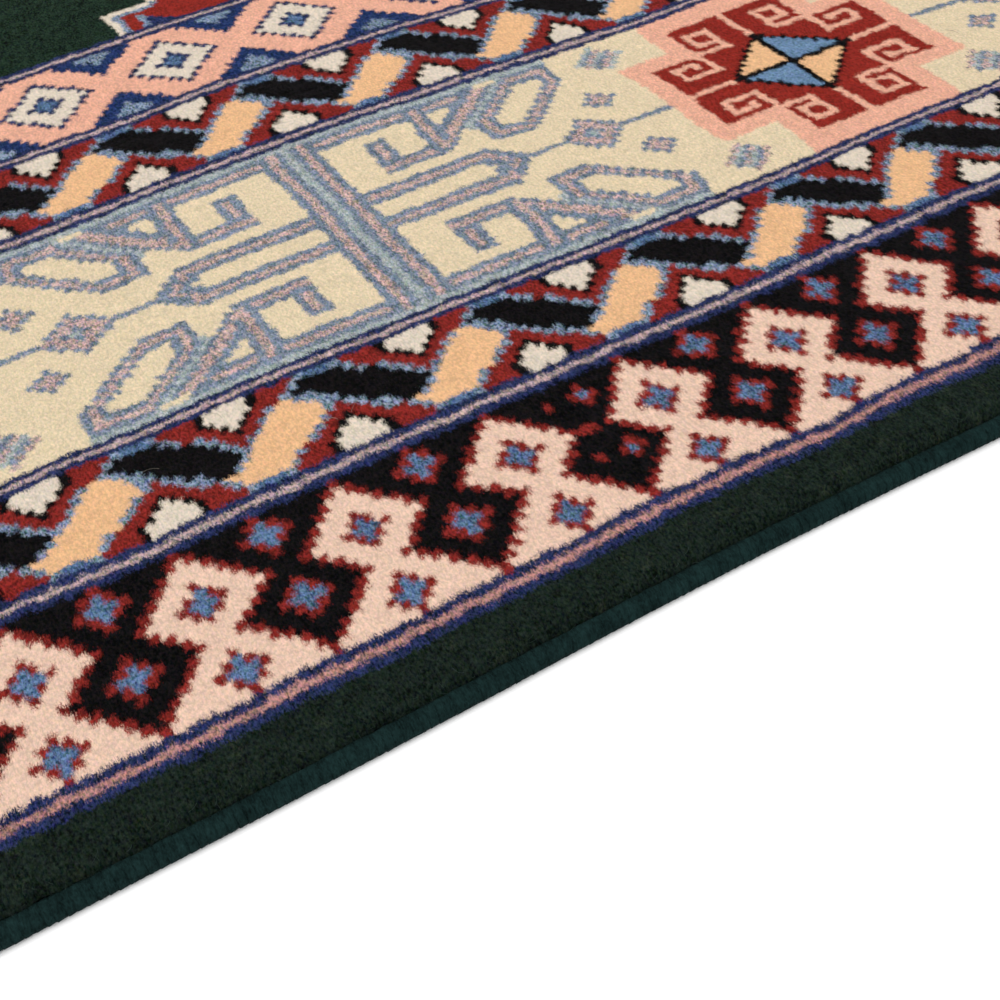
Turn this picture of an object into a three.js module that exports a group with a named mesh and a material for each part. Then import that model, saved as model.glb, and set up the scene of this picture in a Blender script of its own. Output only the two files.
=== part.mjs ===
// A cut length of a hand-knotted runner rug, lying flat with its pile up.
// Millimetres, +Z up. X runs across the runner, Y along it, and the origin is the
// centre of the underside. The rug is three pieces: the knotted body, which is one
// cloth from cut end to cut end, and an overcast cord along each long edge.
import * as THREE from 'three';

// Sizes of the whole rug.
const rugWidth = 800;
const cutLength = 1000;
const bodyThickness = 6.5;
const foundationThickness = 2.6;

// The overcast edge cords, and the running gap between a cord and the body.
const cordWidth = 4.6;
const cordHeight = 4.4;
const cordGap = 0.3;

// How far the pile's shoulder is rounded where it falls to the edge cord.
const shoulderRadius = 2.2;
const shoulderSteps = 3;

// The long edges of a hand-made rug wander a little. Two slow waves make the wander.
const edgeWaves = {
  right: [
    { reach: 0.9, length: 460, start: 0.5 },
    { reach: 0.4, length: 190, start: 2.2 },
  ],
  left: [
    { reach: 0.8, length: 520, start: 3.6 },
    { reach: 0.5, length: 230, start: 0.9 },
  ],
};

// Low ripples where the cloth stands a little off the floor. Everywhere else the
// underside is flat on it. x and y are a ripple's crown, and across and along are how
// far it reaches from there.
const ripples = [
  { x: 205, y: -112, across: 180, along: 118, height: 2.2 },
  { x: -215, y: -318, across: 165, along: 120, height: 1.8 },
  { x: -190, y: 245, across: 170, along: 105, height: 2.0 },
  { x: 190, y: 335, across: 175, along: 125, height: 1.7 },
];

// How finely the solids are stepped.
const stepsAcross = 26;
const stepsAlong = 34;
const cordSides = 10;

const halfWidth = rugWidth / 2;
const bodyHalfWidth = halfWidth - cordWidth - cordGap;

function wander(side, y) {
  let offset = 0;
  for (const wave of edgeWaves[side]) {
    offset += wave.reach * Math.sin((2 * Math.PI * y) / wave.length + wave.start);
  }
  return offset;
}

// Height of the underside above the floor.
function lift(x, y) {
  let height = 0;
  for (const ripple of ripples) {
    const far = Math.hypot((x - ripple.x) / ripple.across, (y - ripple.y) / ripple.along);
    if (far < 1) {
      height += ripple.height * Math.cos((Math.PI / 2) * far) ** 2;
    }
  }
  return height;
}

// A place on the body: share runs from -1 at the left edge to 1 at the right edge.
function bodyX(share, y) {
  const towardsRight = (share + 1) / 2;
  const shift = (1 - towardsRight) * wander('left', y) + towardsRight * wander('right', y);
  return share * bodyHalfWidth + shift;
}

// The body's outline at one place along the rug, anticlockwise seen from its -Y end.
function bodySection(y) {
  const outline = [];
  const put = (share, inset, z) => {
    const x = bodyX(share, y) - Math.sign(share) * inset;
    outline.push(new THREE.Vector3(x, y, z + lift(x, y)));
  };
  for (let i = 0; i <= stepsAcross; i += 1) {
    put((2 * i) / stepsAcross - 1, 0, 0);
  }
  put(1, 0, foundationThickness);
  for (let i = 0; i <= shoulderSteps; i += 1) {
    const turn = ((Math.PI / 2) * i) / shoulderSteps;
    put(1, shoulderRadius * (1 - Math.cos(turn)), shoulderTop(turn));
  }
  for (let i = stepsAcross - 1; i > 0; i -= 1) {
    put((2 * i) / stepsAcross - 1, 0, bodyThickness);
  }
  for (let i = shoulderSteps; i >= 0; i -= 1) {
    const turn = ((Math.PI / 2) * i) / shoulderSteps;
    put(-1, shoulderRadius * (1 - Math.cos(turn)), shoulderTop(turn));
  }
  put(-1, 0, foundationThickness);
  return outline;
}

function shoulderTop(turn) {
  return bodyThickness - shoulderRadius * (1 - Math.sin(turn));
}

// The cord's outline at one place along the rug: round, with a small flat underneath.
function cordSection(side, y) {
  const hand = side === 'right' ? 1 : -1;
  const middle = hand * (halfWidth - cordWidth / 2) + wander(side, y);
  const outline = [];
  for (let i = 0; i < cordSides; i += 1) {
    const turn = (2 * Math.PI * (i + 0.5)) / cordSides - Math.PI / 2;
    const x = middle + (cordWidth / 2) * Math.cos(turn);
    const z = (cordHeight / 2) * (1 + Math.sin(turn) / Math.cos(Math.PI / cordSides));
    outline.push(new THREE.Vector3(x, y, z));
  }
  return outline;
}

function capFaces(outline) {
  return THREE.ShapeUtils.triangulateShape(
    outline.map((point) => new THREE.Vector2(point.x, point.z)),
    [],
  );
}

// One closed solid through a row of like outlines, with a flat cap at each end.
function loft(sections) {
  const count = sections[0].length;
  const positions = sections.flat().flatMap((point) => point.toArray());
  const faces = [];
  for (let row = 0; row + 1 < sections.length; row += 1) {
    for (let i = 0; i < count; i += 1) {
      const near = row * count + i;
      const next = row * count + ((i + 1) % count);
      faces.push(near, next + count, next);
      faces.push(near, near + count, next + count);
    }
  }
  const lastStart = (sections.length - 1) * count;
  for (const [a, b, c] of capFaces(sections[0])) {
    faces.push(a, b, c);
  }
  for (const [a, b, c] of capFaces(sections[sections.length - 1])) {
    faces.push(lastStart + a, lastStart + c, lastStart + b);
  }
  const geometry = new THREE.BufferGeometry();
  geometry.setAttribute('position', new THREE.Float32BufferAttribute(positions, 3));
  geometry.setIndex(faces);
  geometry.computeVertexNormals();
  return geometry;
}

function placesAlong(steps) {
  const places = [];
  for (let i = 0; i <= steps; i += 1) {
    places.push((i / steps - 0.5) * cutLength);
  }
  return places;
}

// Wool pile knotted on a cotton foundation, seen as one dense cloth.
function makeBody() {
  const wool = new THREE.MeshStandardMaterial({ color: 0x7d6a60, roughness: 0.95, metalness: 0 });
  const body = new THREE.Mesh(loft(placesAlong(stepsAlong).map(bodySection)), wool);
  body.name = 'rug_body';
  return body;
}

// Dark teal yarn wrapped round the outermost warps.
function makeCord(side) {
  const yarn = new THREE.MeshStandardMaterial({ color: 0x17363a, roughness: 0.9, metalness: 0 });
  const sections = placesAlong(stepsAlong).map((y) => cordSection(side, y));
  const cord = new THREE.Mesh(loft(sections), yarn);
  cord.name = `selvage_${side}`;
  return cord;
}

const rug = new THREE.Group();
rug.add(makeBody());
rug.add(makeCord('left'));
rug.add(makeCord('right'));

export default rug;
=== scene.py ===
# A cut length of a hand-knotted runner rug, lying flat with its pile up.
# Metres. X runs across the runner, Y along it and Z up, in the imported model's frame.
import math

import bpy
import numpy as np
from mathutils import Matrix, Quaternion, Vector


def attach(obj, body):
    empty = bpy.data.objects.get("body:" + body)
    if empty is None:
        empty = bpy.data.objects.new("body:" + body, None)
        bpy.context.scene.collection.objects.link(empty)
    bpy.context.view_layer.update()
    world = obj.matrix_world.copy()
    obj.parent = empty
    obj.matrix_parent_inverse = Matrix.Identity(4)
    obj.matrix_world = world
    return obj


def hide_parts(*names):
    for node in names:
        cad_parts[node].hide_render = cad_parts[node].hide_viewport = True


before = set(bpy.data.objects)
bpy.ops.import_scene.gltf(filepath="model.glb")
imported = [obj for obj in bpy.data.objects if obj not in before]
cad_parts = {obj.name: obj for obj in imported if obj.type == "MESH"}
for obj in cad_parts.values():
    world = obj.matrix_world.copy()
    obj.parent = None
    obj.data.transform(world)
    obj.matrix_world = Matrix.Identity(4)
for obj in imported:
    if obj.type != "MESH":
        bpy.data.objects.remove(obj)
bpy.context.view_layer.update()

# The viewpoint. It stands off the runner's right-hand edge, low over the floor, and
# looks back and down across the border, as in a shop's close-up picture.
camera_place = Vector((0.5391, -0.2505, 0.2141))
camera_bearing = math.radians(-62.18)
camera_dip = math.radians(-45.97)
camera_roll = math.radians(-4.07)
sensor_width = 36.0
focal_length = 51.53

looking = Vector(
    (
        math.sin(camera_bearing) * math.cos(camera_dip),
        math.cos(camera_bearing) * math.cos(camera_dip),
        math.sin(camera_dip),
    )
)
camera_data = bpy.data.cameras.new("viewpoint")
camera_data.lens = focal_length
camera_data.sensor_width = sensor_width
camera_data.clip_start = 0.01
camera = bpy.data.objects.new("viewpoint", camera_data)
camera.location = camera_place
camera.rotation_mode = "QUATERNION"
upright = looking.to_track_quat("-Z", "Y")
camera.rotation_quaternion = upright @ Quaternion((0, 0, 1), camera_roll)
bpy.context.collection.objects.link(camera)
bpy.context.scene.camera = camera
# Colours are shown as they are, as in a shop's picture, without a film-like curve.
bpy.context.scene.view_settings.view_transform = "Standard"

# The weaver's chart. A hand-knotted rug is drawn knot by knot, one yarn to a knot, so
# each band below is a small rule that says which yarn a knot takes. Knots are counted
# along the runner, and rows across it from the edge cord inwards. The two sides are alike.

# Each yarn's red, green and blue, and how unevenly its wool has taken the dye.
yarns = {
    "edge green": (0.073, 0.109, 0.089, 1.0),
    "edge moss": (0.100, 0.132, 0.103, 1.0),
    "field green": (0.076, 0.136, 0.097, 1.3),
    "black": (0.037, 0.032, 0.036, 1.4),
    "navy": (0.122, 0.153, 0.283, 1.0),
    "royal": (0.110, 0.172, 0.320, 0.9),
    "blue": (0.282, 0.370, 0.482, 0.9),
    "clear blue": (0.357, 0.458, 0.565, 0.45),
    "grey blue": (0.404, 0.448, 0.505, 0.7),
    "sky": (0.395, 0.452, 0.522, 1.0),
    "pale": (0.560, 0.592, 0.590, 0.5),
    "white": (0.766, 0.718, 0.655, 0.22),
    "cream": (0.780, 0.714, 0.598, 0.2),
    "shell": (0.800, 0.681, 0.605, 0.2),
    "rose": (0.595, 0.522, 0.515, 0.75),
    "coral": (0.590, 0.435, 0.412, 0.7),
    "grey rose": (0.632, 0.545, 0.520, 0.75),
    "salmon": (0.802, 0.600, 0.512, 0.25),
    "gold": (0.806, 0.638, 0.476, 0.2),
    "red": (0.470, 0.133, 0.105, 0.45),
    "deep red": (0.428, 0.124, 0.108, 0.6),
}
yarn_names = list(yarns)

cut_length = 1.0
knots_long = 456
knot_length = cut_length / knots_long
first_knot = -112
draw = np.random.default_rng(41)


class Chart:
    """One band: rows of knots, each holding the number of its yarn."""

    def __init__(self, rows, ground):
        self.row = np.arange(rows)[:, None] + np.zeros(knots_long, int)
        self.knot = first_knot + np.arange(knots_long)[None, :] + 0 * self.row
        self.yarn = np.full(self.row.shape, yarn_names.index(ground))

    def dye(self, where, yarn):
        self.yarn[where] = yarn_names.index(yarn)

    def along(self, centre, repeat):
        """How many knots a knot lies past the nearest of the repeats of a centre."""
        return (self.knot - centre + repeat // 2) % repeat - repeat // 2

    def rings(self, inside, colours):
        """Dyes a shape from its outline inwards, one knot to a colour."""
        for colour in colours:
            near = np.pad(inside, 1, mode="edge")
            core = near[2:, 1:-1] & near[:-2, 1:-1] & near[1:-1, 2:] & near[1:-1, :-2]
            self.dye(inside & ~(core & inside), colour)
            inside = inside & core


def guard(*colours):
    """A guard stripe: each of its rows is one plain line."""
    chart = Chart(len(colours), colours[0])
    for row, colour in enumerate(colours):
        chart.dye(chart.row == row, colour)
    return chart.yarn


def edge_band(rows):
    """Plain dark green, with a knot of mossier wool here and there."""
    chart = Chart(rows, "edge green")
    moss_share = 0.10
    chart.dye(draw.random(chart.yarn.shape) < moss_share, "edge moss")
    return chart.yarn


def diamond_border():
    """Pink diamonds and black ones lock into each other, with a star in each."""
    chart = Chart(17, "black")
    repeat, pink_row, black_row, reach = 16, 10, 6, 6
    on_pink, on_black = chart.along(0, repeat), chart.along(repeat // 2, repeat)
    from_pink = abs(on_pink) + abs(chart.row - pink_row)
    from_black = abs(on_black) + abs(chart.row - black_row)
    upper = chart.row >= (pink_row + black_row) // 2
    chart.dye(upper & (from_pink < reach) | ~upper & (from_black > reach), "shell")
    chart.dye(np.where(upper, from_pink, from_black) == reach, "deep red")
    for across, row in ((on_pink, 2), (on_black, 6), (on_pink, 10), (on_black, 14)):
        from_star = abs(across) + abs(chart.row - row)
        chart.dye(from_star == 2, "deep red")
        chart.dye(from_star < 2, "blue")
    # In one place the weaver lost count, and two stars came out small.
    slip = 56
    for row in (6, 14):
        lost = abs(chart.knot - slip) + abs(chart.row - row) <= 3
        chart.dye(lost, "black")
        small = abs(chart.knot - slip - 2) + abs(chart.row - row)
        chart.dye((small == 1) | (chart.row == row) & (chart.knot == slip - 2), "deep red")
        chart.dye(small == 0, "blue")
    lost = (chart.row == pink_row) & (chart.knot >= slip - 2) & (chart.knot <= slip)
    chart.dye(lost, "deep red")
    return chart.yarn


def ribbon(start):
    """Standing and hanging chevrons, with gold and black slats slanting between them."""
    chart = Chart(13, "sky")
    repeat, slope, top = 20, 1.2, 12
    across = chart.along(start, repeat)
    rising, falling = across - slope * chart.row, across + slope * chart.row
    chart.dye((falling < 7.4) | (rising > 4.4), "gold")
    chart.dye((falling > 8.9) & (rising < 3.5), "black")
    chart.dye((chart.row == 0) | (chart.row == top), "blue")
    # A chevron is four triangles, one in another: half its foot, its steepness, its yarn.
    outer = ((8.4, slope, "sky"), (7.4, slope, "deep red"))
    inner = ((3.9, 0.85, "black"), (2.9, 0.85, "white"))
    hanging = chart.along(start + repeat // 2, repeat)
    for middle, height in ((across, chart.row), (hanging, top - chart.row)):
        for foot, steep, colour in outer + inner:
            chart.dye(abs(middle) <= foot - steep * height, colour)
    return chart.yarn


def main_border():
    """Cream, with a blue block of hooked figures and a stepped medallion by turns."""
    chart = Chart(41, "cream")
    repeat = 128
    along, up = chart.along(52, repeat), chart.row - 20
    out, off = abs(along), abs(up)
    chart.dye((off == 0) & (out >= 24) & (out <= 45), "grey blue")
    # The frame along both sides of the block, and the bar across its middle.
    chart.dye((off == 20) & (out <= 37), "pale")
    framed = (out >= 3) & (out <= 26)
    for row, colour in ((17, "grey blue"), (18, "grey rose"), (19, "grey blue")):
        chart.dye(framed & (off == row), colour)
    for step, colour in enumerate(("pale", "grey blue", "grey rose", "grey blue")):
        chart.dye((out == step) & (off < 20), colour)
    # The long finger on the middle line.
    lines = ("grey blue", "grey rose", "grey blue", "cream")
    inset = np.minimum(4 - off, (24 - out - 0.8 * off) / 1.5)
    for step, colour in enumerate(lines):
        chart.dye((inset >= step) & (out > 3), colour)
    # The hook beside it.
    for step, colour in enumerate(lines[:3]):
        chart.dye((off == 7 + step) & (out >= 9) & (out <= 17), colour)
        chart.dye((out == 9 + step) & (off >= 7 + step) & (off <= 14), colour)
    chart.dye((off == 14) & (out >= 9) & (out <= 11), "grey blue")
    # The triangle that stands on the frame.
    slant, low = out - off, (off >= 7) & (off <= 18)
    chart.dye((slant >= 11) & (slant <= 12) & (out >= 22) & (off <= 19), "pale")
    chart.dye((slant >= 6) & (slant <= 10) & (out >= 16) & low, "grey blue")
    chart.dye((slant >= 8) & (slant <= 9) & (out >= 17) & low, "grey rose")
    for step, colour in enumerate(lines[:3]):
        chart.dye((out == 16 + step) & (off >= 8 + step) & (off <= 18), colour)
    # The long six-sided figure in the corner.
    inside = (out >= 23) & (out <= 37) & (off >= 6) & (off <= 19)
    chart.rings(inside & (abs(out - off - 17.4) <= 5.5), lines[:3] + ("cream",) * 4)
    # Small diamonds and stars strewn on the cream.
    from_star = abs(out - 33) + off
    for reach, colour in ((4, "grey blue"), (3, "grey rose"), (1, "grey blue"), (0, "pale")):
        chart.dye(from_star <= reach, colour)
    from_spot = abs(out - 38) + abs(off - 7)
    chart.dye(from_spot <= 2, "grey blue")
    chart.dye(from_spot <= 1, "grey rose")
    striped = abs(out - 45) + abs(off - 16) <= 3
    for step, colour in enumerate(("grey blue", "grey rose", "pale")):
        chart.dye(striped & ((along - up) % 3 == step), colour)
    # The stepped medallion, with a salmon surround and hooked corners.
    along = chart.along(116, repeat)
    out = abs(along)
    chart.dye((out <= 19) & (off <= 11) | (out <= 11) & (off <= 20), "salmon")
    body = (out <= 16) & (off <= 8) | (out <= 8) & (off <= 16)
    chart.dye(body, "red")
    chart.dye(body & ((out == 0) | (off == 0)), "salmon")
    hooks = (
        (4, 8, 9, 9), (4, 4, 9, 14), (4, 7, 14, 14), (7, 7, 11, 14), (5, 7, 11, 11),
        (9, 9, 4, 8), (9, 14, 4, 4), (14, 14, 4, 7), (11, 14, 7, 7), (11, 11, 6, 7),
    )
    for out_from, out_to, off_from, off_to in hooks:
        stroke = (out >= out_from) & (out <= out_to)
        chart.dye(stroke & (off >= off_from) & (off <= off_to), "salmon")
    from_middle = out + off
    chart.dye(from_middle <= 9, "black")
    quarter = (from_middle <= 8) & (out > 0) & (off > 0)
    chart.dye(quarter & (along * up < 0), "gold")
    chart.dye(quarter & (along * up > 0), "clear blue")
    return chart.yarn


def inner_border():
    """White diamonds in a salmon lattice, with half diamonds standing at both edges."""
    chart = Chart(17, "salmon")
    repeat, middle = 18, 8
    across = abs(chart.along(31, repeat))
    from_diamond = across + abs(chart.row - middle)
    chart.dye(from_diamond <= 6, "navy")
    chart.dye(from_diamond <= 5, "white")
    chart.dye(from_diamond <= 2, "navy")
    chart.dye(from_diamond <= 1, "blue")
    between = abs(chart.along(40, repeat))
    from_side = np.minimum(chart.row, 16 - chart.row)
    chart.dye(between + from_side <= 5, "royal")
    chart.dye(between + from_side <= 2, "sky")
    return chart.yarn


def field(rows):
    """Plain green, with stepped half medallions standing on the border."""
    chart = Chart(rows, "field green")
    out = abs(chart.along(84, 128))
    steps = ((38, 6), (31, 12), (24, 18), (17, 24), (10, 30))
    inside = np.zeros(chart.yarn.shape, bool)
    for reach, height in steps:
        inside |= (out <= reach) & (chart.row <= height)
    chart.dye(inside, "red")
    chart.rings(inside, ("white", "sky"))
    chart.dye((out == 34) & (chart.row <= 3), "sky")
    chart.dye((out >= 31) & (out <= 33) & (chart.row <= out - 31), "navy")
    return chart.yarn


# Each band: the rows' pitch across the runner, or each row's own, and the chart.
bands = (
    (0.00211, edge_band(5)),
    ((0.00250, 0.00170, 0.00249), guard("navy", "coral", "navy")),
    (0.00239, diamond_border()),
    ((0.00225, 0.00155, 0.00229), guard("navy", "rose", "navy")),
    (0.00216, ribbon(18)),
    ((0.00175, 0.00140, 0.00174), guard("navy", "rose", "navy")),
    (0.00196, main_border()),
    ((0.00210, 0.00150, 0.00210), guard("navy", "rose", "navy")),
    (0.00243, ribbon(16)),
    ((0.00205, 0.00140, 0.00204), guard("navy", "rose", "navy")),
    (0.002207, inner_border()),
    ((0.00210, 0.00150, 0.00213), guard("navy", "rose", "navy")),
    (0.002139, field(62)),
)
side = np.concatenate([chart for pitch, chart in bands])
pitches = np.concatenate([np.full(len(chart), pitch) for pitch, chart in bands])
# The outermost row is seen twice, because its pile also makes the side of the rug.
side = np.concatenate([side[:1], side])
chart = np.concatenate([side, side[::-1]])
rows_across = len(chart)

# How the runner lies. Its long edges wander a little, and the cloth stands off the floor
# in four low ripples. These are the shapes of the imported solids. Each wave of an edge is
# a reach, a length and a start, and each ripple a crown's place, two radii and a rise.
half_width = 0.400
cord_width = 0.0046
cord_gap = 0.0003
body_half_width = half_width - cord_width - cord_gap
thickness = 0.0065
foundation_thickness = 0.0026
edge_waves = {
    "right": ((0.0009, 0.460, 0.5), (0.0004, 0.190, 2.2)),
    "left": ((0.0008, 0.520, 3.6), (0.0005, 0.230, 0.9)),
}
ripples = (
    (0.205, -0.112, 0.180, 0.118, 0.0022),
    (-0.215, -0.318, 0.165, 0.120, 0.0018),
    (-0.190, 0.245, 0.170, 0.105, 0.0020),
    (0.190, 0.335, 0.175, 0.125, 0.0017),
)


def wander(edge, y):
    waves = edge_waves[edge]
    return sum(reach * np.sin(2 * np.pi * y / length + start) for reach, length, start in waves)


def shift(x, y):
    """How far a place on the cloth is carried sideways by the wander of the edges."""
    towards_right = (x / body_half_width + 1) / 2
    return (1 - towards_right) * wander("left", y) + towards_right * wander("right", y)


def lift(x, y):
    height = np.zeros(np.broadcast(x, y).shape)
    for crown_x, crown_y, across, along, rise in ripples:
        far = np.minimum(np.hypot((x - crown_x) / across, (y - crown_y) / along), 1)
        height += rise * np.cos(np.pi / 2 * far) ** 2
    return height


# The lines between the knots. The two lines at each long edge make the pile's shoulder:
# it leans out over the cord at the top and comes back in at the foot.
lean = 0.0014
from_edge = np.concatenate([[0], np.cumsum(pitches)])
half_lines = body_half_width + lean - from_edge
half_lines = np.concatenate([[body_half_width], half_lines])
half_lines[-1] = 0
x_lines = np.concatenate([-half_lines, half_lines[-2::-1]])
y_lines = (np.arange(knots_long + 1) / knots_long - 0.5) * cut_length
flat_x, flat_y = np.meshgrid(x_lines, y_lines, indexing="ij")
drop = np.zeros(len(x_lines))
drop[[0, -1]], drop[[1, -2]], drop[[2, -3]] = 0.0036, 0.0027, 0.0004

# No two knots are packed alike, so the lines waver, and the shorn pile isn't quite even.
# The wavers are weaker at the cut ends and the long edges.
waver_at_ends, waver_at_edges = 0.3, 0.15
knot_waver = 0.00016
line_waver = 0.00028
groove = 0.00008
unevenness = 0.00005
dome = 0.00010


def slow_noise(shape, reach):
    """Smooth random ups and downs, about one each way over the reach."""
    rough = draw.normal(size=shape)
    kernel = np.hanning(2 * reach + 1)[1:-1]
    for axis in (0, 1):
        rough = np.apply_along_axis(np.convolve, axis, rough, kernel, mode="same")
    return rough / rough.std()


# Nor do the weaver's lines keep to the chart. Each entry is a place where they stray: its
# knot and row, how many knots and rows it reaches, and how far it carries the wool along
# the runner and towards its middle.
strays = (
    (70, 58, 26, 30, 0.0, -0.0013),
    (118, 62, 22, 45, 0.0, 0.0013),
    (32, 38, 22, 16, 0.0, 0.0007),
    (16, 70, 14, 16, 0.0, -0.0014),
    (68, 20, 16, 12, 0.0, -0.0006),
    (104, 20, 16, 18, 0.0, 0.0006),
    (50, 16, 8, 12, 0.0015, 0.0),
    (33, 35, 10, 8, -0.0012, 0.0),
    (75, 35, 12, 8, -0.0010, 0.0),
    (116, 36, 18, 9, -0.0026, 0.0),
    (72, 95, 26, 18, -0.0014, 0.0),
    (122, 68, 18, 18, -0.0014, 0.0),
    (66, 66, 60, 14, 0.0, -0.0010),
    (120, 86, 12, 7, 0.0, 0.0012),
    (106, 92, 9, 5, -0.0016, 0.0),
    (60, 36, 300, 8, -0.0008, 0.0),
    (70, 75, 60, 8, -0.0008, 0.0),
    (80, 51, 60, 5, 0.0010, 0.0),
    (70, 99, 50, 8, 0.0, -0.0009),
    (30, 112, 14, 16, 0.0, -0.0010),
    (72, 36, 16, 14, 0.0, -0.0008),
    (82, 77, 9, 9, -0.0008, -0.0018),
    (96, 82, 6, 5, -0.0028, 0.0),
    (109, 82, 14, 8, -0.0020, 0.0),
    (28, 79, 10, 7, 0.0, -0.0014),
)


def stray():
    knot = flat_y / knot_length + knots_long / 2 + first_knot
    row = np.minimum(np.arange(rows_across + 1), rows_across - np.arange(rows_across + 1))
    row = row[:, None] + 0 * knot
    along, inward = np.zeros(knot.shape), np.zeros(knot.shape)
    for at_knot, at_row, knots, rows, carried_along, carried_inward in strays:
        share = np.exp(-(((knot - at_knot) / knots) ** 2) - ((row - at_row) / rows) ** 2)
        share *= np.minimum(row / 6, 1)
        along += carried_along * share
        inward += carried_inward * share
    return -np.sign(flat_x) * inward, along


grid = flat_x.shape
stray_x, stray_y = stray()
waver_x = stray_x + line_waver * slow_noise(grid, 9) + knot_waver * draw.normal(size=grid)
waver_y = stray_y + line_waver * slow_noise(grid, 9) + knot_waver * draw.normal(size=grid)
waver_y[:, [0, -1]] *= waver_at_ends
waver_x[[0, -1]] *= waver_at_edges
upper_x = flat_x + shift(flat_x, flat_y) + waver_x
upper_y = flat_y + waver_y
lie = lift(flat_x, flat_y)
upper_z = lie + thickness - groove - drop[:, None] + unevenness * draw.normal(size=grid)
upper = np.stack([upper_x, upper_y, upper_z], axis=-1)
centres = (upper[1:, 1:] + upper[1:, :-1] + upper[:-1, 1:] + upper[:-1, :-1]) / 4
centres[..., :2] += knot_waver * draw.normal(size=centres[..., :2].shape)
centres[..., 2] += groove + dome + unevenness * draw.normal(size=centres.shape[:2])
# On the underside the last two lines would meet, so the inner one is set in a little.
set_in = 0.0005
under_x = np.clip(flat_x, -body_half_width, body_half_width)
under_x[[1, -2]] *= 1 - set_in / body_half_width
under = np.stack([under_x + shift(under_x, flat_y), flat_y, lie], axis=-1)


def surface_normals():
    """Which way the pile faces at the lines' crossings and on the domes, rug-wide."""
    crossing, crown = np.zeros(upper.shape), np.zeros(centres.shape)
    rim = (np.s_[:-1, :-1], np.s_[1:, :-1], np.s_[1:, 1:], np.s_[:-1, 1:])
    for near, far in zip(rim, rim[1:] + rim[:1]):
        facing = np.cross(upper[far] - upper[near], centres - upper[near])
        crossing[near] += facing
        crossing[far] += facing
        crown += facing
    return [n / np.linalg.norm(n, axis=-1, keepdims=True) for n in (crossing, crown)]


crossing_normals, crown_normals = surface_normals()


# The pile. Every knot is a tuft of wool, shorn level with its neighbours. It is one small
# dome of the surface, or one face on the plain field. The bands are closed strips of the
# one cloth, and meet edge to edge along the lines between the knots.
class Value:
    """An output socket of a node tree, with arithmetic that adds Math nodes."""

    def __init__(self, tree, socket=None):
        self.tree, self.socket = tree, socket

    def node(self, kind, inputs=None, output=0, stops=None, **settings):
        """Adds a node: first its settings and ramp stops, then its sockets."""
        made = self.tree.nodes.new(kind)
        for name, setting in settings.items():
            setattr(made, name, setting)
        if stops:
            made.color_ramp.interpolation = "CONSTANT"
            while len(made.color_ramp.elements) < len(stops):
                made.color_ramp.elements.new(1.0)
            for element, (place, colour) in zip(made.color_ramp.elements, stops):
                element.position, element.color = place, colour
        for name, given in (inputs or {}).items():
            if isinstance(given, Value):
                self.tree.links.new(given.socket, made.inputs[name])
            else:
                made.inputs[name].default_value = given
        return Value(self.tree, made.outputs[output] if made.outputs else None)

    def beside(self, output):
        """Another output of the node that this one comes from."""
        return Value(self.tree, self.socket.node.outputs[output])

    def math(self, operation, *terms):
        return self.node("ShaderNodeMath", dict(enumerate(terms)), operation=operation)

    def __add__(self, other):
        return self.math("ADD", self, other)

    def __sub__(self, other):
        return self.math("SUBTRACT", self, other)

    def __rsub__(self, other):
        return self.math("SUBTRACT", other, self)

    def __mul__(self, other):
        return self.math("MULTIPLY", self, other)

    def __truediv__(self, other):
        return self.math("DIVIDE", self, other)

    def __lt__(self, other):
        return self.math("LESS_THAN", self, other)

    def __gt__(self, other):
        return self.math("GREATER_THAN", self, other)

    __radd__, __rmul__ = __add__, __mul__

    def parts(self):
        split = self.node("ShaderNodeSeparateXYZ", {0: self})
        return [split.beside(k) for k in range(3)]


def new_material(name):
    material = bpy.data.materials.new(name)
    material.use_nodes = True
    material.node_tree.nodes.clear()
    return material, Value(material.node_tree)


def finish_material(value, inputs):
    surface = value.node("ShaderNodeBsdfPrincipled", inputs)
    value.node("ShaderNodeOutputMaterial", {"Surface": surface})


def stored(value, name):
    """A fact noted on the mesh, read by its name."""
    return value.node("ShaderNodeAttribute", output="Vector", attribute_name=name)


def vector_math(value, operation, *terms):
    return value.node("ShaderNodeVectorMath", dict(enumerate(terms)), operation=operation)


def fibre_noise(value, size, turn, detail, roughness=0.6):
    """Three random ups and downs about nought: size is one streak's extent in metres."""
    place = value.node("ShaderNodeTexCoord", output="Object")
    turned = {0: place, "Rotation": (0, 0, turn), "Scale": tuple(1 / s for s in size)}
    place = value.node("ShaderNodeMapping", turned)
    inputs = {"Vector": place, "Scale": 1.0, "Detail": detail, "Roughness": roughness}
    noise = value.node("ShaderNodeTexNoise", inputs, output="Color")
    return vector_math(value, "SUBTRACT", noise, (0.5, 0.5, 0.5))


def linear(colour):
    return [((c + 0.055) / 1.055) ** 2.4 if c > 0.04045 else c / 12.92 for c in colour]


def chosen_yarn(value, code):
    """The colour of a yarn by its number. Its unevenness comes out beside, as Alpha."""
    stops = []
    for number, (*colour, unevenness) in enumerate(yarns.values()):
        stops.append((number / len(yarns), (*linear(colour), unevenness)))
    place = (code + 0.5) / len(yarns)
    return value.node("ShaderNodeValToRGB", {"Fac": place}, stops=stops)


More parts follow.
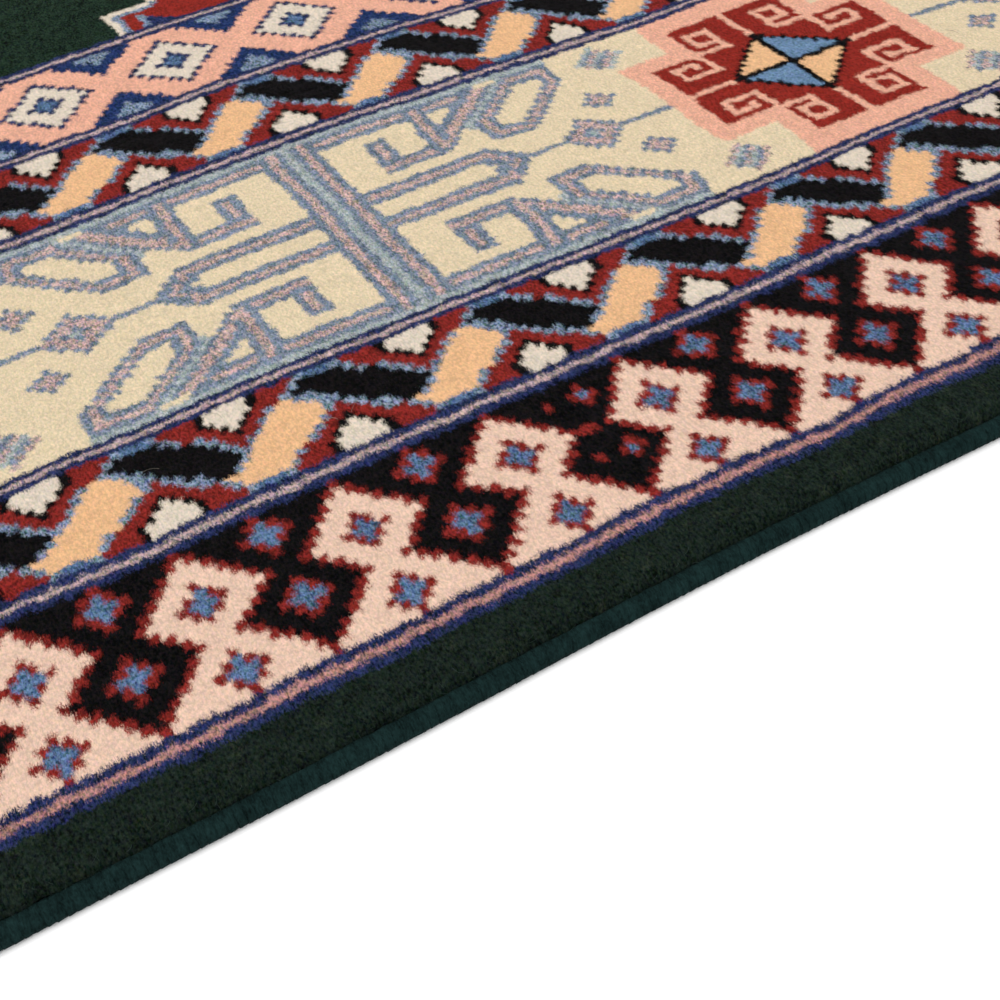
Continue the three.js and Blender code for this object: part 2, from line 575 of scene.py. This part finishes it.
def make_pile():
    material, value = new_material("wool_pile")
    # Fibres of each tuft stray over its neighbours, so that no edge between two colours
    # is a clean line. They lie mostly across the runner, and the finest only blur it.
    # These are their reaches in knots along the runner and in rows across it.
    fine_astray, streak_astray, clump_astray = (0.40, 0.45, 0.0), (1.2, 2.0, 0.0), (0.6, 0.6, 0.0)
    fineness = (90000.0, 90000.0, 90000.0)
    streak = fibre_noise(value, (0.00080, 0.00028, 0.0005), 0.20, 3.0, 0.75)
    clump = fibre_noise(value, (0.0018, 0.0014, 0.002), 0.0, 1.0)
    fine = value.node("ShaderNodeTexCoord", output="Object")
    fine = vector_math(value, "MULTIPLY", fine, fineness)
    fine = value.node("ShaderNodeTexWhiteNoise", {"Vector": fine}, output="Color")
    astray = vector_math(value, "MULTIPLY", fine, fine_astray)
    astray = vector_math(value, "SUBTRACT", astray, tuple(reach / 2 for reach in fine_astray))
    astray = vector_math(value, "MULTIPLY_ADD", streak, streak_astray, astray)
    astray = vector_math(value, "MULTIPLY_ADD", clump, clump_astray, astray)
    # The tufts' hearts are scattered about the middles of the knots.
    tuft_scatter = 0.45
    centred = tuft_scatter / 2 - 0.5
    place = vector_math(value, "ADD", stored(value, "place"), (centred, centred, 0))
    place = vector_math(value, "ADD", place, astray)
    tuft = {"Vector": place, "Scale": 1.0, "Randomness": tuft_scatter}
    near = {"voronoi_dimensions": "2D", "feature": "F1"}
    heart = value.node("ShaderNodeTexVoronoi", tuft, output="Position", **near)
    chance, away = heart.beside("Color"), heart.beside("Distance")
    # Which of the nine knots round about the tuft here belongs to.
    heart = vector_math(value, "FLOOR", heart)
    along, across, _ = vector_math(value, "SUBTRACT", heart, stored(value, "knot")).parts()
    row = stored(value, "row_here")
    for name, wanted in (("row_before", across < -0.5), ("row_after", across > 0.5)):
        inputs = {0: wanted, 4: row, 5: stored(value, name)}
        row = value.node("ShaderNodeMix", inputs, output=1, data_type="VECTOR")
    last, own, following = row.parts()
    code = own + (last - own) * (along < -0.5) + (following - own) * (along > 0.5)
    colour = chosen_yarn(value, code)
    unevenness = colour.beside("Alpha")
    # Wool takes the dye unevenly, from tuft to tuft and from fibre to fibre, and painted shade
    # darkens each tuft towards its rim.
    lightness, _, _ = chance.parts()
    grain, _, depth = streak.parts()
    patch, wisp, _ = clump.parts()
    fleck = fibre_noise(value, (0.0009, 0.0006, 0.0008), -0.15, 2.0, 0.75)
    bright, _, _ = fleck.parts()
    light = bright * 4.2 + grain * 1.6 + patch * 0.9 + (lightness - 0.5) * 0.4
    hue_spread, darkest = (1.8, 1.2, 1.8), (-0.8, -0.8, -0.8)
    dapple = vector_math(value, "MULTIPLY_ADD", fleck, hue_spread, light)
    dapple = vector_math(value, "MAXIMUM", dapple, darkest)
    # Painted shade: the colour grows darker with the distance from the tuft's heart, as if shaded
    # between tufts.
    tone = vector_math(value, "MULTIPLY_ADD", dapple, unevenness, 1 - away * 0.12)
    colour = vector_math(value, "MULTIPLY", colour, tone)
    height = depth * 0.6 + grain * 0.4 + patch * 0.8 + wisp * 0.5 - away * 0.9
    bump = value.node("ShaderNodeBump", {"Height": height, "Strength": 0.5, "Distance": 0.0004})
    finish_material(
        value,
        {
            "Base Color": colour,
            "Roughness": 0.95 - 0.1 * lightness,
            "Specular IOR Level": 0.03,
            "Normal": bump,
        },
    )
    return material


def make_mesh(name, points, faces):
    mesh = bpy.data.meshes.new(name)
    mesh.vertices.add(len(points))
    mesh.vertices.foreach_set("co", points.ravel())
    corners = np.concatenate([f.ravel() for f in faces])
    counts = np.concatenate([np.full(len(f), f.shape[1]) for f in faces])
    mesh.loops.add(len(corners))
    mesh.loops.foreach_set("vertex_index", corners)
    mesh.polygons.add(len(counts))
    mesh.polygons.foreach_set("loop_start", np.concatenate([[0], counts.cumsum()[:-1]]))
    mesh.update(calc_edges=True)
    return mesh, corners, counts


def show(name, mesh, slot, *replaced):
    """Puts a mesh in the scene as a piece of the rug."""
    piece = bpy.data.objects.new(name, mesh)
    bpy.context.collection.objects.link(piece)
    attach(piece, "root")
    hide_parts(*replaced)
    return piece


def note(mesh, name, domain, values, kind="FLOAT_VECTOR"):
    layer = mesh.attributes.new(name, kind, domain)
    layer.data.foreach_set("vector", values.astype(np.float32).ravel())


def yarns_beside(rows, columns, asides):
    """The yarns of a few knots along a row, as one vector to each place."""
    rows = np.clip(rows, 0, rows_across - 1)
    beside = [chart[rows, np.clip(columns + k, 0, knots_long - 1)] for k in asides]
    return np.stack(beside, axis=-1)


def grid_faces(mark):
    """The corners of each face of a grid of points."""
    corner = (mark[:-1, :-1], mark[1:, :-1], mark[1:, 1:], mark[:-1, 1:])
    return np.stack([c.ravel() for c in corner], axis=-1)


def strip(name, first, count, domes, top, bottom, top_step, bottom_step):
    """A closed strip of cloth, some rows wide and as long as the runner.

    The top is a grid of points with one face to a knot, or four where it has domes, and
    the bottom is another grid. Either may skip knots along the runner where it is hidden.
    """
    rows = np.arange(count + 1)
    marks = []
    points, kinds, normals = [], [], []
    for grid, step, level in ((top, top_step, 1.0), (bottom, bottom_step, 0.0)):
        cut = grid[first : first + count + 1, ::step]
        start = sum(len(p) for p in points)
        marks.append(start + np.arange(cut[..., 0].size).reshape(cut.shape[:2]))
        points.append(cut.reshape(-1, 3))
        column, row = np.meshgrid(np.arange(0, knots_long + 1, step), first + rows)
        level = np.full(column.size, level)
        kinds.append(np.stack([column.ravel(), row.ravel(), level], axis=-1))
        normals.append(crossing_normals[first : first + count + 1, ::step].reshape(-1, 3))
    if domes:
        cut = centres[first : first + count]
        middle = sum(len(p) for p in points) + np.arange(count * knots_long)
        middle = middle.reshape(count, knots_long)
        points.append(cut.reshape(-1, 3))
        column, row = np.meshgrid(np.arange(knots_long) + 0.5, first + rows[:-1] + 0.5)
        level = np.ones(column.size)
        kinds.append(np.stack([column.ravel(), row.ravel(), level], axis=-1))
        normals.append(crown_normals[first : first + count].reshape(-1, 3))
    points, kinds, normals = [np.concatenate(a) for a in (points, kinds, normals)]
    up, down = marks

    def wall(line, foot):
        """Triangles between a finely and a coarsely stepped line, in fans."""
        fine, rough = (line, foot) if len(line) > len(foot) else (foot, line)
        share = (len(fine) - 1) // (len(rough) - 1)
        nearer = (np.arange(len(fine) - 1) + share // 2) // share
        fans = np.stack([fine[:-1], fine[1:], rough[nearer]], axis=-1)
        caps = np.stack([rough[1:], rough[:-1], fine[share // 2 :: share]], axis=-1)
        faces = np.concatenate([fans, caps])
        return faces if fine is foot else faces[:, ::-1]

    lid = grid_faces(up)
    if domes:
        heart = middle.ravel()
        lid = [np.stack([lid[:, k], lid[:, (k + 1) % 4], heart], axis=-1) for k in range(4)]
        lid = np.stack(lid, axis=1).reshape(-1, 3)
    end_steps = np.stack([down[:-1, 0], down[1:, 0], up[1:, 0], up[:-1, 0]], axis=-1)
    far_steps = np.stack([up[:-1, -1], up[1:, -1], down[1:, -1], down[:-1, -1]], axis=-1)
    sides = [wall(up[0], down[0])[:, ::-1], wall(up[-1], down[-1])]
    faces = [lid, grid_faces(down)[:, ::-1], end_steps, far_steps, *sides]
    mesh, corners, counts = make_mesh(name, points, faces)
    group = np.repeat(np.arange(6), [len(f) for f in faces])
    starts = np.concatenate([[0], counts.cumsum()[:-1]])
    spot = kinds[corners]
    low = np.minimum.reduceat(spot, starts)
    column = np.clip(low[:, 0].astype(int), 0, knots_long - 1)
    row = np.clip(low[:, 1].astype(int), first, first + count - 1)
    note(mesh, "place", "POINT", kinds * (1, 1, 0))
    note(mesh, "knot", "FACE", np.stack([column, row, 0 * row], axis=-1))
    # The strips are lit as one cloth, so their tops keep the whole rug's directions.
    facing = np.empty(3 * len(counts), np.float32)
    mesh.polygons.foreach_get("normal", facing)
    facing = np.repeat(facing.reshape(-1, 3), counts, axis=0)
    on_top = np.repeat(group == 0, counts)
    facing[on_top] = normals[corners[on_top]]
    note(mesh, "custom_normal", "CORNER", facing)
    # The rims are marked sharp, so that the top isn't smoothed into the hidden walls.
    rims = np.empty(len(corners), np.int32)
    mesh.loops.foreach_get("edge_index", rims)
    of_side = np.repeat(group, counts)
    lowest, highest = np.full(len(mesh.edges), len(faces)), np.zeros(len(mesh.edges), int)
    np.minimum.at(lowest, rims, of_side)
    np.maximum.at(highest, rims, of_side)
    sharp = mesh.attributes.new("sharp_edge", "BOOLEAN", "EDGE")
    sharp.data.foreach_set("value", lowest != highest)
    return mesh, spot, group, counts, column, row


def lay_out(mesh, spot, group, counts, column, first, count, folds, wide_side):
    """The piece's map: its wide side folded into a square, the other sides in slivers."""
    wide_from, narrow_height, sliver_height = 0.12, 0.05, 0.010
    sliver_feet = {2: 0.055, 3: 0.070, 4: 0.085, 5: 0.100}
    group = np.repeat(group, counts)
    fold_length = knots_long // folds
    fold = np.repeat(column // fold_length, counts)
    along, row, level = spot[:, 0], spot[:, 1] - first, spot[:, 2]
    u = (along - fold * fold_length) / fold_length
    folded = (fold * (count + 1) + row) / (folds * (count + 1))
    wide = group == wide_side
    u = np.where(wide, u, along / knots_long)
    v = np.where(wide, wide_from + (1 - wide_from) * folded, narrow_height * row / count)
    for k, foot in sliver_feet.items():
        v = np.where(group == k, foot + sliver_height * level, v)
        u = np.where((group == k) & (k < 4), row / count, u)
    layer = mesh.uv_layers.new(name="OFBake")
    layer.data.foreach_set("uv", np.stack([u, v], axis=-1).astype(np.float32).ravel())


pile = make_pile()
# The pile's foot dips a hair into the foundation, and is stepped coarsely there.
dip = 0.00005
coarse = 12
pile_foot = under + (0, 0, foundation_thickness - dip)
# Each strip: its name, its rows, the folds of its map, and whether its knots are domed.
runs = (
    ("outer_border", 29, 4, True),
    ("outer_ribbon", 16, 4, True),
    ("main_border", 44, 4, True),
    ("inner_ribbon", 16, 4, True),
    ("inner_border", 20, 4, True),
    ("field", 62, 3, False),
)
pieces = []
for hand, ordered in (("left", 1), ("right", -1)):
    start = 0 if ordered == 1 else rows_across
    for name, count, folds, domes in runs:
        first = start if ordered == 1 else start - count
        start += ordered * count
        grids = (upper, pile_foot, 1, coarse)
        made = strip(f"{name}_{hand}", first, count, domes, *grids)
        mesh, spot, group, counts, column, row = made
        for fact, aside in (("row_before", -1), ("row_here", 0), ("row_after", 1)):
            note(mesh, fact, "FACE", yarns_beside(row + aside, column, (-1, 0, 1)))
        lay_out(mesh, spot, group, counts, column, first, count, folds, 0)
        mesh.materials.append(pile)
        pieces.append(show(mesh.name, mesh, "pile", "rug_body"))


# The foundation: cotton warps and wefts that hold the knots, one slab from cut end to
# cut end. Its underside is the rug's back, where each knot shows as two small nubs of
# its own yarn between the wefts, so the pattern reads there too.
def make_back():
    material, value = new_material("wool_back")
    along, across, _ = vector_math(value, "ADD", stored(value, "place"), (0, 0, 0)).parts()
    streak = fibre_noise(value, (0.0006, 0.0003, 0.0006), 0.0, 2.0)
    grain, wobble, _ = streak.parts()
    first_column, _, _ = stored(value, "knot").parts()
    inside = along - first_column + wobble * 0.25
    one, two, three = stored(value, "row_below").parts()
    code = one + (two - one) * (inside > 1.0) + (three - two) * (inside > 2.0)
    colour = chosen_yarn(value, code)
    nub_across = ((across * 2 + grain * 0.1).math("FRACT") - 0.5).math("ABSOLUTE") * 2
    nub_along = ((along + wobble * 0.1).math("FRACT") - 0.5).math("ABSOLUTE") * 2
    weft = nub_along > 0.80
    cotton = (*linear((0.72, 0.69, 0.62)), 1)
    inputs = {0: weft, 6: colour, 7: cotton}
    colour = value.node("ShaderNodeMix", inputs, output=2, data_type="RGBA")
    # Painted shade: the colour grows darker towards each nub's sides, in the grooves between the
    # nubs.
    inputs = {"Value": 0.92 + grain * 0.5 - nub_across * 0.2, "Color": colour}
    colour = value.node("ShaderNodeHueSaturation", inputs)
    round_off = 1 - nub_across * nub_across - nub_along * nub_along * 0.6
    height = round_off + grain * 0.5
    bump = value.node("ShaderNodeBump", {"Height": height, "Strength": 0.8, "Distance": 0.0004})
    inputs = {"Base Color": colour, "Roughness": 0.9, "Specular IOR Level": 0.15}
    finish_material(value, {**inputs, "Normal": bump})
    return material


def make_cotton():
    material, value = new_material("cotton_warp")
    streak = fibre_noise(value, (0.00035, 0.0012, 0.00035), 0.0, 2.0)
    grain, patch, _ = streak.parts()
    colour = (*linear((0.80, 0.77, 0.70)), 1)
    inputs = {"Value": 1.0 + grain * 0.5 + patch * 0.2, "Color": colour}
    colour = value.node("ShaderNodeHueSaturation", inputs)
    bump = value.node("ShaderNodeBump", {"Height": grain, "Strength": 0.7, "Distance": 0.0004})
    inputs = {"Base Color": colour, "Roughness": 0.9, "Specular IOR Level": 0.15}
    finish_material(value, {**inputs, "Normal": bump})
    return material


def make_cord_yarn():
    material, value = new_material("cord_yarn")
    streak = fibre_noise(value, (0.0009, 0.0003, 0.0006), 0.15, 3.0, 0.75)
    clump = fibre_noise(value, (0.004, 0.003, 0.003), 0.0, 2.0)
    grain, fleck, _ = streak.parts()
    patch, _, _ = clump.parts()
    colour = (*linear((0.060, 0.120, 0.118)), 1)
    tone = 1.0 + grain * 2.6 + patch * 1.6 + fleck * 1.2
    colour = value.node("ShaderNodeHueSaturation", {"Value": tone, "Color": colour})
    bump = value.node("ShaderNodeBump", {"Height": grain, "Strength": 0.6, "Distance": 0.0003})
    inputs = {"Base Color": colour, "Roughness": 0.92, "Specular IOR Level": 0.03}
    finish_material(value, {**inputs, "Normal": bump})
    return material


knots_to_a_face = 3
slab_top = under + (0, 0, foundation_thickness)
# The back is cotton and wool, the cut ends bare cotton, and the rest yarn of the cords.
material_of_side = np.array([2, 0, 1, 1, 2, 2], np.int32)
grids = (slab_top, under, coarse, knots_to_a_face)
mesh, spot, group, counts, column, row = strip("foundation", 0, rows_across, False, *grids)
note(mesh, "row_below", "FACE", yarns_beside(row, column, range(knots_to_a_face)))
lay_out(mesh, spot, group, counts, column, 0, rows_across, 1, 1)
cotton, cord_yarn = make_cotton(), make_cord_yarn()
for material in (make_back(), cotton, cord_yarn):
    mesh.materials.append(material)
mesh.polygons.foreach_set("material_index", material_of_side[group])
foundation = show("foundation", mesh, "pile", "rug_body")


# The edge cords. Dark teal yarn is wrapped over and over round two thick warps at each
# long edge. Each turn is a band of yarn round the cord, a little slanted and uneven, and
# Geometry Nodes grow one after another along the line of the cord.
def new_group(name, **settings):
    """A group of Geometry Nodes with named inputs, to be run on a mesh that says where."""
    tree = bpy.data.node_groups.new(name, "GeometryNodeTree")
    tree.interface.new_socket("Mesh", in_out="INPUT", socket_type="NodeSocketGeometry")
    tree.interface.new_socket("Mesh", in_out="OUTPUT", socket_type="NodeSocketGeometry")
    for label, start in settings.items():
        kind = "NodeSocketInt" if isinstance(start, int) else "NodeSocketFloat"
        made = tree.interface.new_socket(label, in_out="INPUT", socket_type=kind)
        made.default_value = start
    source = tree.nodes.new("NodeGroupInput")
    return [Value(tree, socket) for socket in source.outputs if socket.name]


def end_group(value, instances, material):
    """Makes what a group has placed real, smooth and of one material."""
    solid = value.node("GeometryNodeRealizeInstances", {0: instances})
    solid = value.node("GeometryNodeSetShadeSmooth", {0: solid})
    solid = value.node("GeometryNodeSetMaterial", {0: solid, "Material": material})
    value.node("NodeGroupOutput", {0: solid})
    return value.tree


def grow(name, points, edges, faces, group, slot, *replaced, **settings):
    """Runs a group on a plain mesh and keeps what grew as one plain mesh."""
    mesh = bpy.data.meshes.new(name)
    mesh.from_pydata(points, edges, faces)
    piece = show(name, mesh, slot, *replaced)
    modifier = piece.modifiers.new("grow", "NODES")
    modifier.node_group = group
    for item in group.interface.items_tree:
        if item.in_out == "INPUT" and item.name in settings:
            modifier[item.identifier] = settings[item.name]
    held = bpy.context.evaluated_depsgraph_get()
    grown = bpy.data.meshes.new_from_object(piece.evaluated_get(held))
    piece.modifiers.clear()
    piece.data = grown
    return piece


def scattered(value, seed, centre, spread):
    """A vector by chance, within a spread each way of its centre."""
    low = tuple(c - s for c, s in zip(centre, spread))
    high = tuple(c + s for c, s in zip(centre, spread))
    inputs = {0: low, 1: high, "Seed": seed}
    return value.node("FunctionNodeRandomValue", inputs, data_type="FLOAT_VECTOR")


def wraps_group(material):
    inputs = new_group("cord_wraps", pitch=0.0018, across=0.0023, high=0.0022, seed=1)
    line, pitch, across, high, seed = inputs
    yarn_thickness, yarn_spread, slant = 0.00026, 4.4, 0.07
    line = line.node("GeometryNodeMeshToCurve", {0: line})
    line = line.node("GeometryNodeResampleCurve", {0: line, "Length": pitch}, mode="LENGTH")
    ring = line.node("GeometryNodeCurvePrimitiveCircle", {"Resolution": 10, "Radius": 1.0})
    sizes = {0: across - yarn_thickness, 1: high - yarn_thickness, 2: 1.0}
    sizes = line.node("ShaderNodeCombineXYZ", sizes)
    ring = line.node("GeometryNodeTransform", {0: ring, "Scale": sizes})
    yarn = {"Resolution": 4, "Radius": yarn_thickness * math.sqrt(2)}
    yarn = line.node("GeometryNodeCurvePrimitiveCircle", yarn)
    yarn = line.node("GeometryNodeTransform", {0: yarn, "Rotation": (0, 0, math.pi / 4)})
    turn = line.node("GeometryNodeCurveToMesh", {0: ring, 1: yarn})
    turn = line.node("GeometryNodeTransform", {0: turn, "Scale": (1, 1, yarn_spread)})
    angle = scattered(line, seed, (math.pi / 2, 0, slant), (0.03, 0.0, 0.05))
    angle = line.node("FunctionNodeEulerToRotation", {0: angle})
    size = scattered(line, seed + 1, (0.985, 0.98, 1.0), (0.015, 0.02, 0.12))
    placed = {0: line, "Instance": turn, "Rotation": angle, "Scale": size}
    turns = line.node("GeometryNodeInstanceOnPoints", placed)
    return end_group(line, turns, material)


def cord_core(name, hand, middle_x, middle_z):
    """The two thick warps inside the wraps, as one closed rod."""
    sides, radius = 8, 0.0007
    turn = 2 * np.pi * np.arange(sides) / sides
    points, faces = [], []
    for aside in (-radius, radius):
        x = middle_x[:, None] + aside + radius * np.cos(turn)
        z = np.full(x.shape, middle_z) + radius * np.sin(turn)
        start = sum(len(p) for p in points)
        mark = start + np.arange(x.size).reshape(x.shape)
        points.append(np.stack([x, edge_y[:, None] + 0 * x, z], axis=-1).reshape(-1, 3))
        following = np.roll(mark, -1, axis=1)
        ring = (mark[:-1], mark[1:], following[1:], following[:-1])
        faces += np.stack([r.ravel() for r in ring], axis=-1).tolist()
        faces += [mark[0].tolist(), mark[-1, ::-1].tolist()]
    mesh = bpy.data.meshes.new(name)
    mesh.from_pydata(np.concatenate(points).tolist(), [], faces)
    mesh.materials.append(cotton)
    return show(name, mesh, "edge_cord", f"selvage_{hand}")


cord_height = 0.0044
wraps = wraps_group(cord_yarn)
edge_y = np.linspace(-cut_length / 2, cut_length / 2, 120)
# The first and last turns stop just inside the cuts.
inset = 0.0008
wrapped_y = np.clip(edge_y, -cut_length / 2 + inset, cut_length / 2 - inset)
for hand, side_of, seed in (("left", -1, 3), ("right", 1, 8)):
    middle = side_of * (half_width - cord_width / 2) + wander(hand, edge_y)
    line = [(x, y, cord_height / 2) for x, y in zip(middle, wrapped_y)]
    joins = [(k, k + 1) for k in range(len(line) - 1)]
    settings = {"across": cord_width / 2, "high": cord_height / 2, "seed": seed}
    name = f"cord_wraps_{hand}"
    grown = grow(name, line, joins, [], wraps, "edge_cord", f"selvage_{hand}", **settings)
    pieces += [grown, cord_core(f"cord_core_{hand}", hand, middle, cord_height / 2)]


# The cut ends. The runner goes on beyond them, so each is cut straight, and two cotton
# warps to every knot are cut off just outside the knots.
def stubs_group(material):
    spots, length, seed = new_group("warp_stubs", length=0.0016, seed=1)
    stub = {"Vertices": 6, "Radius": 0.00038, "Depth": length}
    stub = spots.node("GeometryNodeMeshCylinder", stub)
    angle = scattered(spots, seed, (math.pi / 2, 0, 0), (0.10, 0.0, 0.16))
    angle = spots.node("FunctionNodeEulerToRotation", {0: angle})
    size = scattered(spots, seed + 1, (1.0, 1.0, 0.8), (0.12, 0.12, 0.45))
    placed = {0: spots, "Instance": stub, "Rotation": angle, "Scale": size}
    stubs = spots.node("GeometryNodeInstanceOnPoints", placed)
    return end_group(spots, stubs, material)


stubs = stubs_group(cotton)
warp_height = 0.55 * foundation_thickness
for name, end, seed in (("near", 0, 21), ("far", -1, 22)):
    lines = (under[:-1, end] + under[1:, end]) / 2
    widths = np.diff(under[:, end, 0])[:, None] * (1, 0, 0)
    spots = np.concatenate([lines - widths / 4, lines + widths / 4])[2:-2]
    spots = spots + (0, 0, warp_height)
    bed = spots.tolist(), [], []
    grown = grow(f"warp_stubs_{name}", *bed, stubs, "pile", "rug_body", seed=seed)
    pieces.append(grown)


# Stray fibres. Wool sheds and fuzzes, most of all where the pile ends at the edge cords,
# and a few hairs of other yarns lie about on the pile.
def make_hair(name, colour):
    material, value = new_material(name)
    patch, _, _ = fibre_noise(value, (0.01, 0.01, 0.01), 0.0, 2.0).parts()
    colour = (*linear(colour), 1)
    colour = value.node("ShaderNodeHueSaturation", {"Value": 1 + patch * 1.2, "Color": colour})
    inputs = {"Base Color": colour, "Roughness": 0.8, "Specular IOR Level": 0.2}
    finish_material(value, inputs)
    return material


def hairs_group(name, material):
    ground, density, length, thickness, seed = new_group(
        name, density=10000.0, length=0.003, thickness=0.02, seed=1
    )
    spots = {0: ground, "Density": density, "Seed": seed}
    spots = ground.node("GeometryNodeDistributePointsOnFaces", spots)
    bow = {"Start": (-0.4, 0, -0.03), "Middle": (0.0, 0.35, 0.22), "End": (0.5, 0, 0.06)}
    bow = ground.node("GeometryNodeCurveQuadraticBezier", {"Resolution": 4, **bow})
    section = {"Resolution": 3, "Radius": thickness}
    section = ground.node("GeometryNodeCurvePrimitiveCircle", section)
    hair = ground.node("GeometryNodeCurveToMesh", {0: bow, 1: section, "Fill Caps": True})
    angle = scattered(ground, seed, (0, 0, 0), (0.5, 0.5, 3.14))
    angle = ground.node("FunctionNodeEulerToRotation", {0: angle})
    size = scattered(ground, seed + 1, (1, 1, 1), (0.5, 0.6, 0.6))
    size = vector_math(ground, "SCALE", size)
    ground.tree.links.new(length.socket, size.socket.node.inputs["Scale"])
    placed = {0: spots, "Instance": hair, "Rotation": angle, "Scale": size}
    return end_group(ground, ground.node("GeometryNodeInstanceOnPoints", placed), material)


def patch_of(low_row, high_row, step):
    """A coarse copy of part of the pile's surface, for fibres to grow on."""
    cut = upper[low_row : high_row + 1, ::step]
    mark = np.arange(cut[..., 0].size).reshape(cut.shape[:2])
    return cut.reshape(-1, 3).tolist(), [], grid_faces(mark).tolist()


edge_hairs = hairs_group("edge_hairs", make_hair("edge_hair", (0.12, 0.18, 0.16)))
for hand, rows, seed in (("left", (0, 2), 31), ("right", (rows_across - 2, rows_across), 32)):
    settings = {"density": 150000.0, "length": 0.0020, "thickness": 0.016, "seed": seed}
    bed = patch_of(*rows, 4)
    grown = grow(f"edge_fuzz_{hand}", *bed, edge_hairs, "pile", "rug_body", **settings)
    pieces.append(grown)
pale_hairs = hairs_group("pale_hairs", make_hair("pale_hair", (0.50, 0.47, 0.43)))
settings = {"density": 220.0, "length": 0.0040, "thickness": 0.008, "seed": 44}
bed = patch_of(6, rows_across - 6, 12)
pieces.append(grow("stray_fibres", *bed, pale_hairs, "pile", "rug_body", **settings))

# The floor and the light: a plain pale floor, just below the rug so that the two never
# share a plane, and large soft lamps, as for a shop's product picture, so that the rug
# hardly throws a shadow.
floor_level = -0.0002
bpy.ops.mesh.primitive_plane_add(size=12, location=(0, 0, floor_level))
floor = bpy.context.object
floor.name = "floor"
material, value = new_material("pale_floor")
finish_material(value, {"Base Color": (0.95, 0.95, 0.95, 1), "Roughness": 0.9})
floor.data.materials.append(material)

lamps = (
    ("key", (0.9, -1.0, 1.6), 1.2, 25.0),
    ("fill", (-1.3, 0.6, 1.5), 2.0, 16.0),
)
for name, place, size, power in lamps:
    lamp_data = bpy.data.lights.new(name, "AREA")
    lamp_data.energy, lamp_data.size = power, size
    lamp = bpy.data.objects.new(name, lamp_data)
    lamp.location = place
    lamp.rotation_mode = "QUATERNION"
    lamp.rotation_quaternion = (-Vector(place)).to_track_quat("-Z", "Y")
    bpy.context.collection.objects.link(lamp)
world = bpy.data.worlds.new("studio")
world.use_nodes = True
world.node_tree.nodes["Background"].inputs["Color"].default_value = (1, 1, 1, 1)
world.node_tree.nodes["Background"].inputs["Strength"].default_value = 1.0
bpy.context.scene.world = world
